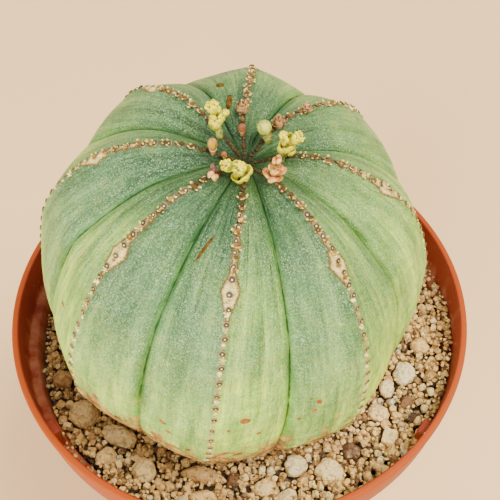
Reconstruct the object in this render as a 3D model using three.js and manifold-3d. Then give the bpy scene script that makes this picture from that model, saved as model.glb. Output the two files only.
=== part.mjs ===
// Baseball plant (Euphorbia obesa) growing in a round plastic nursery pot, in millimetres.
// Origin: centre of the pot's foot. +Z is up and -Y is the front. An azimuth is measured round
// the pot from the front, positive towards +X.
import * as THREE from 'three';
import { mergeVertices } from 'three/addons/utils/BufferGeometryUtils.js';
import Module from 'manifold-3d';

const wasm = await Module();
wasm.setup();

// ---- driving dimensions ----------------------------------------------------------------------
const DEG = Math.PI / 180;
const GAP = 0.3; // clearance between pieces that touch

const POT_HEIGHT = 78;
const RIM_RADIUS = 45;
const POT_WALL = 1.2;
const POT_SIDES = 48;
const COLLAR_DROP = 8; // depth of the wide collar inside the rim
const LEDGE_WIDTH = 1.7; // step from the collar in to the tapered wall
const FOOT_RADIUS = 31;
const FOOT_RING_WIDTH = 3;
const FOOT_RECESS = 1.5;
const FLOOR_TOP = 2.8;
const DRAIN_RADIUS = 2.4;
const DRAIN_CIRCLE = 20;
const DRAIN_COUNT = 6;
const LUG_AZIMUTHS = [52, 128, 232, 308];
const LUG_SIZE = [3.4, 1.8, 6.2];

const GRIT_DEPTH = 10.3; // mean depth of the grit below the rim
const GRIT_SLOPE = 0.036; // the grit lies higher at the front right
const GRIT_HIGH_AZIMUTH = 58;

const CREST_RADIUS = 35.3;
const BODY_CENTRE = [-1.5, -0.1, POT_HEIGHT + 10.6];
const UPPER_HEIGHT = 35;
const LOWER_HEIGHT = 29;
const APEX_DIMPLE = 3;
const DIMPLE_SPREAD = 0.25; // of the crest radius
const LEAN_RIGHT = Math.tan(5.3 * DEG);
const LEAN_FRONT = Math.tan(4 * DEG);
const RIB_AZIMUTHS = [-5, 39, 85, 134, 177, 223, 267, 311];
const GROOVE_AZIMUTHS = [16, 60, 105, 154, 203, 247, 290, 333];
const RIB_TWISTS = [0.5, 1.5, 7.5, 10, 11, 1.5, -1, 1]; // how far each crest turns at the apex, degrees
const GROOVE_TWISTS = [1, 4, 8, 10, 7, 1, 0, 0.5];
const TWIST_SPREAD = 0.227; // radians down from the apex in which the twist fades
const APEX_PIT = 0.8; // small pit at the growing point
const PIT_RADIUS = 3.5;
const GROOVE_DROP = 1.75; // extra depth of the grooves round the apex
const DROP_ANGLE = 0.23; // where that depth is greatest, radians down from the apex
const DROP_SPREAD = 0.19;
const RIBS = RIB_AZIMUTHS.length;
const TOP_CURVE = 0.71; // power of the sine that rounds the shoulder
const BODY_END = 162 * DEG; // angle from the apex where the rounded body runs into the taproot
const ROOT_START = 0.84; // share of the mesh rows used by the body
const ROOT_LENGTH = 20; // taproot below the rounded body
const ROOT_RADIUS = 7.5;
const ROOT_CLEARANCE = 0.8; // between the body and the hollow in the grit
const FLOWER_GAP = 0.45; // from a crest to the foot of a flower stalk

// ---- colours -----------------------------------------------------------------------------------
const TERRACOTTA = 0xc4542a;
const GRIT = 0x9d8566;
const PUMICE = 0xb5a78b;
const SKIN = 0x7fa274;
const BRACT_YELLOW = 0xc9d06a;
const STAMEN_YELLOW = 0xe6dc3f;
const AGED_PINK = 0xd49a7c;
const BUD_GREEN = 0xbcc274;
const BUD_ORANGE = 0xc98a4a;
const DRIED = 0x8a5a50;
const STALK_GREEN = 0xa9b36a;

// ---- mesh helpers --------------------------------------------------------------------------------

/** Keeps positions only, joins shared corners and drops triangles that closed up at a pole. */
function welded(geometry) {
  geometry.deleteAttribute('normal');
  geometry.deleteAttribute('uv');
  const joined = mergeVertices(geometry, 1e-4);
  const index = joined.getIndex().array;
  const kept = [];
  for (let i = 0; i < index.length; i += 3) {
    const [a, b, c] = index.slice(i, i + 3);
    if (a !== b && b !== c && c !== a) kept.push(a, b, c);
  }
  joined.setIndex(kept);
  return joined;
}

/** Turns an outline of [radius, height] points about +Z. */
function turned(outline, sides) {
  const points = outline.map(([radius, height]) => new THREE.Vector2(radius, height));
  const geometry = new THREE.LatheGeometry(points, sides);
  geometry.rotateX(Math.PI / 2);
  return welded(geometry);
}

/** Bends a unit sphere into a closed form: place(turn, drop) gives [x, y, z] for turn and drop in 0..1. */
function moulded(columns, rows, place) {
  const geometry = new THREE.SphereGeometry(1, columns, rows);
  const { position, uv } = geometry.attributes;
  for (let i = 0; i < position.count; i += 1) {
    position.setXYZ(i, ...place(uv.getX(i), 1 - uv.getY(i)));
  }
  return welded(geometry);
}

/** A manifold solid of a closed geometry. */
function solid(geometry) {
  const vertProperties = new Float32Array(geometry.attributes.position.array);
  const triVerts = new Uint32Array(geometry.getIndex().array);
  return new wasm.Manifold(new wasm.Mesh({ numProp: 3, vertProperties, triVerts }));
}

/** The geometry of a manifold solid. */
function surface(body) {
  const mesh = body.getMesh();
  const geometry = new THREE.BufferGeometry();
  geometry.setAttribute('position', new THREE.BufferAttribute(mesh.vertProperties, 3));
  geometry.setIndex(new THREE.BufferAttribute(mesh.triVerts, 1));
  return geometry;
}

const object = new THREE.Group();

/** A named piece in its own material, hung in a group. */
function piece(name, geometry, color, roughness, parent = object) {
  const material = new THREE.MeshStandardMaterial({ color, roughness, metalness: 0 });
  const mesh = new THREE.Mesh(geometry, material);
  mesh.name = name;
  parent.add(mesh);
  return mesh;
}

/** The point at a radius, azimuth in degrees and height. */
function polar(radius, azimuth, height) {
  return new THREE.Vector3(radius * Math.sin(azimuth * DEG), -radius * Math.cos(azimuth * DEG), height);
}

// ---- pot -----------------------------------------------------------------------------------------

const COLLAR_INNER = RIM_RADIUS - POT_WALL - 0.4; // at the bottom of the collar
const LEDGE_INNER = COLLAR_INNER - LEDGE_WIDTH;
const LEDGE_HEIGHT = POT_HEIGHT - COLLAR_DROP;
const FLOOR_INNER = FOOT_RADIUS - POT_WALL;

/** Inside radius of the tapered wall at a height. */
function wallRadius(height) {
  const rise = (height - FLOOR_TOP) / (LEDGE_HEIGHT - 0.5 - FLOOR_TOP);
  return FLOOR_INNER + (LEDGE_INNER - FLOOR_INNER) * rise;
}

function potShell() {
  const rim = POT_HEIGHT;
  const outer = RIM_RADIUS;
  return turned(
    [
      [0, FOOT_RECESS],
      [FOOT_RADIUS - FOOT_RING_WIDTH - 0.6, FOOT_RECESS],
      [FOOT_RADIUS - FOOT_RING_WIDTH, 0],
      [FOOT_RADIUS - 0.5, 0],
      [FOOT_RADIUS, 1],
      [LEDGE_INNER + POT_WALL, LEDGE_HEIGHT - 2],
      [outer - 0.6, LEDGE_HEIGHT - 1.6],
      [outer - 0.2, rim - 3],
      [outer, rim - 0.8],
      [outer - 0.3, rim],
      [outer - POT_WALL + 0.2, rim],
      [outer - POT_WALL - 0.1, rim - 0.8],
      [COLLAR_INNER, LEDGE_HEIGHT],
      [LEDGE_INNER, LEDGE_HEIGHT - 0.5],
      [FLOOR_INNER, FLOOR_TOP],
      [0, FLOOR_TOP],
    ],
    POT_SIDES,
  );
}

/** A round post through the pot's floor, for a drain hole. */
function drainPost(azimuth, radius) {
  const post = turned([[0, -1], [DRAIN_RADIUS, -1], [DRAIN_RADIUS, 4], [0, 4]], 12);
  post.translate(...polar(radius, azimuth, 0).toArray());
  return solid(post);
}

/** A stacking lug moulded on the inside of the collar. */
function lug(azimuth) {
  const [width, reach, height] = LUG_SIZE;
  const block = new THREE.BoxGeometry(width, reach, height);
  block.rotateZ(azimuth * DEG);
  const middle = LEDGE_HEIGHT - 0.2 + height / 2;
  block.translate(...polar(COLLAR_INNER + 0.5 - reach / 2, azimuth, middle).toArray());
  return solid(welded(block));
}

function pot() {
  let shell = solid(potShell());
  for (const azimuth of LUG_AZIMUTHS) shell = shell.add(lug(azimuth));
  shell = shell.subtract(drainPost(0, 0));
  for (let i = 0; i < DRAIN_COUNT; i += 1) {
    shell = shell.subtract(drainPost((360 / DRAIN_COUNT) * i, DRAIN_CIRCLE));
  }
  piece('pot', surface(shell), TERRACOTTA, 0.45);
}

// ---- plant body ----------------------------------------------------------------------------------

/** Share of the apex's twist that is left at an angle down from the apex. */
function twistAt(angle) {
  return Math.exp(-((angle / TWIST_SPREAD) ** 2));
}

/** Azimuth and share of the way from crest to groove, for a turn of 0..1 round the body. */
function ribTurn(turn, angle) {
  const place = (turn * RIBS + RIBS * 0.75) % RIBS;
  const rib = Math.floor(place);
  const part = place - rib;
  const twist = twistAt(angle);
  const after = (rib + 1) % RIBS;
  const crest = RIB_AZIMUTHS[rib] + RIB_TWISTS[rib] * twist;
  const groove = GROOVE_AZIMUTHS[rib] + GROOVE_TWISTS[rib] * twist;
  const next = RIB_AZIMUTHS[after] + (after === 0 ? 360 : 0) + RIB_TWISTS[after] * twist;
  const share = part < 0.5 ? part * 2 : 2 - part * 2;
  const fold = 1 - (1 - share) ** 1.5;
  const from = part < 0.5 ? crest : next;
  return { azimuth: (from + (groove - from) * fold) * DEG, fold };
}

/** Crest radius and height above the body's centre, at an angle down from the apex. */
function crest(angle) {
  const across = Math.max(Math.sin(angle), 0);
  const along = Math.abs(Math.cos(angle));
  const upper = angle <= Math.PI / 2;
  const radius = CREST_RADIUS * across ** (upper ? TOP_CURVE : 1.07);
  const dimple = APEX_DIMPLE * Math.exp(-((radius / (DIMPLE_SPREAD * CREST_RADIUS)) ** 2));
  const pit = APEX_PIT * Math.exp(-((radius / PIT_RADIUS) ** 2));
  if (upper) return [radius, UPPER_HEIGHT * along ** 1.03 - dimple - pit];
  return [radius, -LOWER_HEIGHT * along ** 0.72];
}

/** Depth of the grooves as a share of the radius, at an angle down from the apex. */
function grooveDepth(angle) {
  const shoulder = 0.9;
  if (angle < shoulder) return THREE.MathUtils.lerp(0.418, 0.072, angle / shoulder);
  return THREE.MathUtils.lerp(0.072, 0.045, (angle - shoulder) / (Math.PI - shoulder));
}

/** Extra drop of the grooves in the hollow round the apex. */
function grooveDrop(angle, radius) {
  const share = Math.exp(-(((angle - DROP_ANGLE) / DROP_SPREAD) ** 2));
  return GROOVE_DROP * share * Math.min(radius / 3, 1);
}

/** Leans the body's own frame over and sets it in the pot. */
function planted(x, y, z) {
  return [
    x + LEAN_RIGHT * z + BODY_CENTRE[0],
    y - LEAN_FRONT * z + BODY_CENTRE[1],
    z - LEAN_RIGHT * x + LEAN_FRONT * y + BODY_CENTRE[2],
  ];
}

/** Ribbed body and taproot as one closed form; swell makes the clear space round it. */
function bodyForm(columns, rows, ribbed, swell) {
  return moulded(columns, rows, (turn, drop) => {
    const down = Math.min(drop / ROOT_START, 1);
    const angle = BODY_END * down ** 1.25;
    const { azimuth, fold } = ribTurn(turn, angle);
    let [radius, height] = crest(angle);
    if (drop > ROOT_START) {
      const along = (drop - ROOT_START) / (1 - ROOT_START);
      radius = ROOT_RADIUS * (1 - along ** 2) ** 0.5 * (1 - 0.35 * along);
      height -= ROOT_LENGTH * along + 1;
    }
    const flank = 1 - (1 - fold) ** 0.8;
    const fade = drop > ROOT_START ? 0 : 1;
    const inset = ribbed ? radius * grooveDepth(angle) * flank * fade : 0;
    if (ribbed) height -= grooveDrop(angle, radius) * flank;
    const reach = Math.max(radius - inset + (drop < 1 && drop > 0 ? swell : 0), 0);
    const lift = swell * Math.cos(Math.PI * drop);
    return planted(reach * Math.sin(azimuth), -reach * Math.cos(azimuth), height + lift);
  });
}

function plantBody() {
  piece('plant_body', bodyForm(64, 34, true, 0), SKIN, 0.6);
}

// ---- grit bed and pumice -------------------------------------------------------------------------

/** Height of the grit's surface at a place. */
function gritLevel(x, y) {
  const high = polar(1, GRIT_HIGH_AZIMUTH, 0);
  const waves = 0.35 * Math.sin(x / 5) * Math.cos(y / 6);
  return POT_HEIGHT - GRIT_DEPTH + GRIT_SLOPE * (x * high.x + y * high.y) + waves;
}

/** Pumice stones: azimuth, distance from the pot's axis, long, broad and high sizes, turn. */
const STONES = [
  [290, 37.6, 4.6, 4.4, 4.0, 20],
  [304, 36.3, 6.4, 5.2, 4.6, 70],
  [318, 34.0, 8.0, 3.8, 3.8, 20],
  [320.5, 38.7, 4.6, 4.2, 4.0, 0],
  [331, 36.6, 5.6, 4.8, 4.2, 120],
  [348, 33.4, 8.4, 3.2, 3.2, 0],
  [350, 38.0, 6.0, 3.4, 3.0, 10],
  [8, 36.0, 5.6, 3.2, 3.0, 0],
  [18, 33.3, 4.6, 4.4, 3.8, 30],
  [27, 36.6, 5.4, 5.2, 4.2, 80],
  [36, 35.6, 3.4, 3.8, 3.4, 60],
  [52, 34.0, 4.2, 3.6, 3.4, 40],
  [61, 32.8, 4.0, 3.6, 3.4, 10],
  [69, 35.0, 5.2, 4.6, 3.8, 30],
  [80, 37.2, 4.8, 3.2, 3.0, 50],
  [112, 36.4, 5.0, 4.0, 3.6, 0],
  [145, 38.2, 4.4, 4.0, 3.4, 60],
  [182, 37.4, 5.8, 4.2, 3.6, 15],
  [250, 38.0, 5.4, 4.0, 3.6, 80],
];

/** One rough rounded stone, swollen by a clearance when it cuts its pocket. */
function stoneForm([azimuth, distance, long, broad, high, turn], seed, swell) {
  const geometry = welded(new THREE.IcosahedronGeometry(1, 1));
  const corner = new THREE.Vector3();
  const centre = polar(distance, azimuth, 0);
  const { position } = geometry.attributes;
  for (let i = 0; i < position.count; i += 1) {
    corner.fromBufferAttribute(position, i);
    const across = Math.sin(corner.x * 3 + seed) + Math.cos(corner.y * 4 - seed * 2);
    const along = Math.sin(corner.z * 3 + seed * 3);
    corner.multiplyScalar(0.93 + 0.035 * (across + along));
    position.setXYZ(
      i,
      corner.x * (long / 2 + swell),
      corner.y * (broad / 2 + swell),
      corner.z * (high / 2 + swell),
    );
  }
  geometry.rotateZ((turn + azimuth) * DEG);
  geometry.translate(centre.x, centre.y, gritLevel(centre.x, centre.y) + high * 0.22);
  return geometry;
}

function pumiceStones() {
  STONES.forEach((stone, i) => {
    piece(`pumice_stone_${String(i + 1).padStart(2, '0')}`, stoneForm(stone, i, 0), PUMICE, 0.9);
  });
}

function gritBed() {
  const edge = LEDGE_HEIGHT - 1.5;
  const outline = [
    [0, FLOOR_TOP + GAP],
    [FLOOR_INNER - GAP * 2, FLOOR_TOP + GAP],
    [wallRadius(36) - GAP * 2, 36],
    [wallRadius(edge - 4) - GAP * 2, edge - 4],
    ...[41, 38, 35, 32, 28, 22, 12, 0].map((radius) => [radius, edge]),
  ];
  const bed = turned(outline, POT_SIDES);
  const { position } = bed.attributes;
  for (let i = 0; i < position.count; i += 1) {
    const x = position.getX(i);
    const y = position.getY(i);
    if (position.getZ(i) > edge - 1) position.setZ(i, gritLevel(x, y));
  }
  let body = solid(bed).subtract(solid(bodyForm(32, 26, false, ROOT_CLEARANCE)));
  STONES.forEach((stone, i) => {
    body = body.subtract(solid(stoneForm(stone, i, GAP * 1.2)));
  });
  piece('grit_bed', surface(body), GRIT, 0.95);
}

// ---- flowers -------------------------------------------------------------------------------------

/** A group standing on a rib's crest, its +Z along the stalk. Reach is its distance from the apex,
 * and beside turns it off the crest, in degrees. */
function onRib(rib, reach, leanOut, leanAside, beside = 0) {
  const angle = Math.asin((reach / CREST_RADIUS) ** (1 / TOP_CURVE));
  const [radius, height] = crest(angle);
  const azimuth = RIB_AZIMUTHS[rib - 1] + RIB_TWISTS[rib - 1] * twistAt(angle) + beside;
  const foot = polar(radius, azimuth, height);
  const outward = polar(1, azimuth, 0);
  const aside = polar(1, azimuth + 90, 0);
  const axis = new THREE.Vector3(0, 0, 1);
  axis.addScaledVector(outward, Math.tan(leanOut * DEG));
  axis.addScaledVector(aside, Math.tan(leanAside * DEG));
  axis.normalize();
  const group = new THREE.Group();
  group.position.set(...planted(foot.x, foot.y, foot.z + FLOWER_GAP));
  group.quaternion.setFromUnitVectors(new THREE.Vector3(0, 0, 1), axis);
  object.add(group);
  return group;
}

/** Short fleshy stalk, a little swollen at its foot. */
function stalk(radius, length) {
  const waist = 0.75 * radius;
  return turned([[0, 0], [radius, 0], [waist, length * 0.4], [radius * 0.85, length], [0, length]], 8);
}

/** Cup of a flower, narrow below and open above round a shallow dish. */
function cup(radius, height, lift) {
  const outline = [
    [0, 0],
    [0.5 * radius, 0],
    [0.92 * radius, 0.4 * height],
    [radius, 0.75 * height],
    [0.78 * radius, height],
    [0.5 * radius, 0.84 * height],
    [0, 0.8 * height],
  ];
  const geometry = turned(outline, 10);
  geometry.translate(0, 0, lift);
  return geometry;
}

/** Crown of stamens: a low dome with points all round. */
function stamens(radius, height, lift) {
  return moulded(12, 6, (turn, drop) => {
    const azimuth = turn * 2 * Math.PI;
    const spread = radius * Math.sin(Math.PI * drop) * (1 + 0.22 * Math.cos(6 * azimuth));
    const rise = height * 0.5 * (1 + Math.cos(Math.PI * drop));
    return [-spread * Math.cos(azimuth), -spread * Math.sin(azimuth), lift + rise];
  });
}

/** Rounded scale leaf beside the cup, cupped towards it. */
function bract(width, height, thickness, distance, azimuth, lift) {
  const scale = moulded(8, 6, (turn, drop) => {
    const side = -Math.cos(turn * 2 * Math.PI) * Math.sin(Math.PI * drop);
    const depth = -Math.sin(turn * 2 * Math.PI) * Math.sin(Math.PI * drop);
    const rise = Math.cos(Math.PI * drop);
    const hug = 0.25 * side * side;
    return [(side * width) / 2, (depth * thickness) / 2 + hug * width, (rise * height) / 2];
  });
  scale.rotateX(18 * DEG);
  scale.translate(0, -distance, lift + height / 2);
  scale.rotateZ(azimuth * DEG);
  return scale;
}

/** Closed round bud with a blunt tip. */
function bud(width, height, lift) {
  return moulded(10, 7, (turn, drop) => {
    const spread = (width / 2) * Math.sin(Math.PI * drop) ** 0.85;
    const azimuth = turn * 2 * Math.PI;
    const rise = (height / 2) * (1 + Math.cos(Math.PI * drop));
    return [-spread * Math.cos(azimuth), -spread * Math.sin(azimuth), lift + rise];
  });
}

/** Shrivelled flower head with a star of dry lobes. */
function rosette(width, height, lift) {
  return moulded(10, 5, (turn, drop) => {
    const azimuth = turn * 2 * Math.PI;
    const spread = (width / 2) * Math.sin(Math.PI * drop) * (0.8 + 0.2 * Math.cos(5 * azimuth));
    const rise = (height / 2) * (1 + Math.cos(Math.PI * drop));
    return [-spread * Math.cos(azimuth), -spread * Math.sin(azimuth), lift + rise];
  });
}

/** Open flower: stalk, a ring of bracts, a cup and its crown of stamens. */
function openFlower(name, place, size, colours) {
  const { stalkLength, cupRadius, cupHeight, bracts } = size;
  const group = onRib(...place);
  const base = stalkLength + GAP;
  piece(`${name}_stalk`, stalk(cupRadius * 0.5, stalkLength), colours.stalk, 0.6, group);
  piece(`${name}_cup`, cup(cupRadius, cupHeight, base), colours.cup, 0.55, group);
  const crown = stamens(cupRadius * 0.62, cupHeight * 0.45, base + cupHeight + 0.05);
  piece(`${name}_stamens`, crown, colours.stamens, 0.6, group);
  bracts.forEach((azimuth, i) => {
    const width = cupRadius * 1.25;
    const scale = bract(width, cupHeight * 1.05, 0.55, cupRadius + 0.95, azimuth, base - 0.5);
    piece(`${name}_bract_${i + 1}`, scale, colours.bract, 0.55, group);
  });
}

/** Closed bud on its short stalk. */
function budOnStalk(name, place, stalkRadius, stalkLength, width, height, colour) {
  const group = onRib(...place);
  piece(`${name}_stalk`, stalk(stalkRadius, stalkLength), STALK_GREEN, 0.6, group);
  piece(`${name}_head`, bud(width, height, stalkLength + GAP), colour, 0.55, group);
}

function flowers() {
  const fresh = { stalk: STALK_GREEN, cup: BRACT_YELLOW, stamens: STAMEN_YELLOW, bract: BRACT_YELLOW };
  const aged = { stalk: AGED_PINK, cup: AGED_PINK, stamens: DRIED, bract: AGED_PINK };
  const tall = { stalkLength: 2.4, cupRadius: 1.15, cupHeight: 2.3, bracts: [20, 140, 260] };
  const broad = { stalkLength: 1.2, cupRadius: 1.3, cupHeight: 1.9, bracts: [60, 180, 300] };
  const middle = { stalkLength: 1.6, cupRadius: 1.25, cupHeight: 2.1, bracts: [90, 200, 320] };
  const small = { stalkLength: 1.1, cupRadius: 1.1, cupHeight: 1.9, bracts: [80, 250] };
  openFlower('flower_back_left', [6, 5.8, 14, -7, 4.5], tall, fresh);
  openFlower('flower_front', [1, 4.3, -4, -24, 0], broad, fresh);
  openFlower('flower_right', [3, 5.4, 17, 6, -3.7], middle, fresh);
  openFlower('flower_aged', [2, 5.9, 4, 10, 0], small, aged);
  budOnStalk('bud_green', [4, 4.9, -6, 12, -4], 0.5, 1.0, 2.3, 2.3, BUD_GREEN);
  budOnStalk('bud_tan', [7, 5.2, 1, -2, 1], 0.45, 0.5, 1.6, 1.9, BUD_ORANGE);
  budOnStalk('bud_orange', [5, 4.6, -3, 0, 2], 0.4, 0.4, 1.3, 1.3, BUD_ORANGE);
  budOnStalk('bud_red', [7, 3.4, 4, 6, 10], 0.35, 0.3, 0.9, 0.9, BUD_ORANGE);

  const withered = onRib(8, 6.8, -3, 2);
  piece('withered_flower_head', rosette(1.8, 3.0, 0), DRIED, 0.85, withered);
  piece('withered_flower_bract', bract(1.4, 1.9, 0.5, 1.8, 10, 0), AGED_PINK, 0.7, withered);

  piece('dry_head_back', rosette(2.2, 1.7, 0), DRIED, 0.9, onRib(5, 8.5, 2, 0));
  piece('dry_head_right', rosette(2.3, 1.8, 0), DRIED, 0.9, onRib(4, 7.9, 8, 4, -2));
  piece('dry_head_far_right', rosette(1.8, 1.3, 0), DRIED, 0.9, onRib(4, 13.4, 6, 2, -2));
}

// ---- assembly ------------------------------------------------------------------------------------
pot();
gritBed();
pumiceStones();
plantBody();
flowers();

export default object;
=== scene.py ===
from math import atan2, cos, hypot, pi, radians, sin, sqrt, tan
import random

import bmesh
import bpy
import numpy as np
from mathutils import Matrix, Quaternion, Vector, noise


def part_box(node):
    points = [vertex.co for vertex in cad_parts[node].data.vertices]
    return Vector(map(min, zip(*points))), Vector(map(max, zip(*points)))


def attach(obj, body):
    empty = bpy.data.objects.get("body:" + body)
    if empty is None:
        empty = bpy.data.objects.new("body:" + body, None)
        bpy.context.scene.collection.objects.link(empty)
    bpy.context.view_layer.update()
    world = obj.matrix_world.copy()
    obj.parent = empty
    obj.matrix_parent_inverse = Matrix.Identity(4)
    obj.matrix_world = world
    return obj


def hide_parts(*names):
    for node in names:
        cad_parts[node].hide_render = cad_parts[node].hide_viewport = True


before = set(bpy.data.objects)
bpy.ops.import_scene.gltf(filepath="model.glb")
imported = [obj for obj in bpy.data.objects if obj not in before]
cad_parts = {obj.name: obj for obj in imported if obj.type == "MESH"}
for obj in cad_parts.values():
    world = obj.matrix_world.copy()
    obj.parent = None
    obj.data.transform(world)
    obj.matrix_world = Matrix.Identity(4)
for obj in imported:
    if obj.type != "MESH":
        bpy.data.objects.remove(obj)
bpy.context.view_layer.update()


# ---- Pot -------------------------------------------------------------------------------------
# A thin moulded plastic pot. A rim and a wide collar stiffen its mouth, the wall tapers to a
# foot ring with drain holes inside it, and four lugs keep stacked pots apart.

MM = 0.001
RIM_RADIUS, _, RIM_HEIGHT = (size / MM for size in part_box("pot")[1])
POT_WALL = 1.2
COLLAR_DROP = 8.0
LEDGE_WIDTH = 1.7
FOOT_RADIUS = 31.0
FOOT_RING = 3.0
FOOT_RECESS = 1.5
FLOOR_TOP = 2.8
COLLAR_INNER = RIM_RADIUS - POT_WALL - 0.4
LEDGE_INNER = COLLAR_INNER - LEDGE_WIDTH
LEDGE_HEIGHT = RIM_HEIGHT - COLLAR_DROP
FLOOR_INNER = FOOT_RADIUS - POT_WALL
POT_STEPS = 180
DRAIN_RADIUS = 2.4
DRAIN_CIRCLE = 20.0
LUG_AZIMUTHS = (52, 128, 232, 308)
LUG_SIZE = (3.2, 1.7, 6.2)
CORNER_ROUNDING = 0.42


def tint(red, green, blue):
    """A surface colour, each part the share of light that comes back."""
    return (red, green, blue, 1)


class Finish:
    """One surface's material: each call adds a node and returns the output that it gives."""

    def __init__(self, name, roughness, **settings):
        self.material = bpy.data.materials.new(name)
        self.material.use_nodes = True
        self.tree = self.material.node_tree
        self.shader = self.tree.nodes["Principled BSDF"]
        self.feed(self.shader.inputs["Roughness"], roughness)
        for socket, value in settings.items():
            self.feed(self.shader.inputs[socket.replace("_", " ")], value)

    def feed(self, socket, value):
        if isinstance(value, bpy.types.NodeSocket):
            self.tree.links.new(value, socket)
        else:
            socket.default_value = value

    def add(self, kind, inputs, output=0, **settings):
        node = self.tree.nodes.new(kind)
        for key, value in settings.items():
            setattr(node, key, value)
        for key, value in inputs.items():
            self.feed(node.inputs[key], value)
        return node.outputs[output]

    def place(self):
        return self.add("ShaderNodeTexCoord", {}, "Object")

    def read(self, attribute, output="Fac"):
        return self.add("ShaderNodeAttribute", {}, output, attribute_name=attribute)

    def split(self, vector, part):
        return self.add("ShaderNodeSeparateXYZ", {0: vector}, part)

    def join(self, x, y, z=0.0):
        return self.add("ShaderNodeCombineXYZ", {0: x, 1: y, 2: z})

    def noise(self, scale, detail=2.0, vector=None, roughness=0.5):
        inputs = {"Vector": vector or self.place(), "Scale": scale, "Detail": detail}
        return self.add("ShaderNodeTexNoise", {**inputs, "Roughness": roughness})

    def cells(self, scale, output="Distance"):
        inputs = {"Vector": self.place(), "Scale": scale}
        return self.add("ShaderNodeTexVoronoi", inputs, output)

    def math(self, operation, first, second=0.0):
        return self.add("ShaderNodeMath", {0: first, 1: second}, operation=operation)

    def times(self, first, second):
        return self.math("MULTIPLY", first, second)

    def span(self, value, low, high, start=0.0, end=1.0):
        """Maps low..high on to start..end, held at both ends."""
        inputs = {"Value": value, "From Min": low, "From Max": high, "To Min": start, "To Max": end}
        return self.add("ShaderNodeMapRange", inputs)

    def blend(self, share, first, second, mode="MIX"):
        inputs = {0: share, 6: first, 7: second}
        return self.add("ShaderNodeMix", inputs, 2, data_type="RGBA", blend_type=mode)

    def lay(self, color, value, limits, over, mode="MIX"):
        """Lays one colour over another where a value is between limits, as span takes them."""
        return self.blend(self.span(value, *limits), color, over, mode)

    def ramp(self, value, *stops):
        """Colours by value: stops are (position, red, green, blue) from low to high."""
        output = self.add("ShaderNodeValToRGB", {"Fac": value})
        elements = output.node.color_ramp.elements
        while len(elements) < len(stops):
            elements.new(0.5)
        for element, (position, *color) in zip(elements, stops):
            element.position = position
            element.color = tint(*color)
        return output

    def bump(self, height, depth, under=None):
        inputs = {"Height": height, "Distance": depth, "Strength": 1.0}
        if under:
            inputs["Normal"] = under
        return self.add("ShaderNodeBump", inputs)

    def done(self, color, normal=None):
        self.feed(self.shader.inputs["Base Color"], color)
        if normal:
            self.feed(self.shader.inputs["Normal"], normal)
        return self.material


def as_mesh(name, bm):
    """Makes a bmesh into a mesh and lets the bmesh go."""
    mesh = bpy.data.meshes.new(name)
    bm.to_mesh(mesh)
    bm.free()
    return mesh


def new_object(name, data):
    made = bpy.data.objects.new(name, data)
    bpy.context.collection.objects.link(made)
    return made


def add_piece(name, bm, materials, slot, *nodes, sharp=None):
    """Makes a bmesh into a piece that rides on the pot's body and stands for its CAD nodes."""
    mesh = as_mesh(name, bm)
    mesh.shade_smooth()
    if sharp:
        mesh.set_sharp_from_angle(angle=radians(sharp))
    for material in materials:
        mesh.materials.append(material)
    piece = new_object(name, mesh)
    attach(piece, "root")
    if nodes:
        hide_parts(*nodes)
    return piece


def around(radius, azimuth, height):
    """The point at a radius and height in millimetres and an azimuth in degrees."""
    turn = radians(azimuth)
    return Vector((radius * sin(turn), -radius * cos(turn), height)) * MM


def turned(bm, outline, steps):
    """Spins an outline of (radius, height) points in millimetres about +Z."""
    corners = [bm.verts.new((radius * MM, 0, height * MM)) for radius, height in outline]
    edges = [bm.edges.new(pair) for pair in zip(corners, corners[1:])]
    bmesh.ops.spin(
        bm,
        geom=corners + edges,
        cent=(0, 0, 0),
        axis=(0, 0, 1),
        angle=2 * pi,
        steps=steps,
        use_merge=True,
    )
    bmesh.ops.remove_doubles(bm, verts=bm.verts, dist=1e-7)
    bmesh.ops.recalc_face_normals(bm, faces=bm.faces)


def eased(outline, radius, steps=4):
    """Rounds every corner of an outline by a curve that starts radius away from it."""
    points = [Vector(outline[0])]
    for before, corner, after in zip(outline, outline[1:], outline[2:]):
        before, corner, after = Vector(before), Vector(corner), Vector(after)
        enter = corner + (before - corner).normalized() * min(radius, (before - corner).length * 0.45)
        leave = corner + (after - corner).normalized() * min(radius, (after - corner).length * 0.45)
        for i in range(steps + 1):
            t = i / steps
            points.append(enter * (1 - t) ** 2 + corner * 2 * t * (1 - t) + leave * t**2)
    return points + [Vector(outline[-1])]


def pot_outside():
    paint = Finish("pot_plastic", 0.48, Specular_IOR_Level=0.14)
    height = paint.split(paint.place(), "Z")
    # The top of the rim is painted a brighter orange: painted light where daylight falls on it.
    lit_rim_top = paint.span(height, (RIM_HEIGHT - 1.6) * MM, (RIM_HEIGHT - 0.2) * MM)
    body = paint.blend(paint.noise(60, 3), tint(0.25, 0.038, 0.007), tint(0.31, 0.05, 0.009))
    color = paint.blend(lit_rim_top, body, tint(0.35, 0.055, 0.004))
    dust = paint.span(paint.noise(420, 5, roughness=0.7), 0.6, 0.78, 0, 0.3)
    color = paint.blend(dust, color, tint(0.55, 0.2, 0.07))
    grain = paint.bump(paint.noise(900, 3), 0.00003)
    wave = paint.bump(paint.noise(70, 1), 0.00025, grain)
    return paint.done(color, wave)


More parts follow.
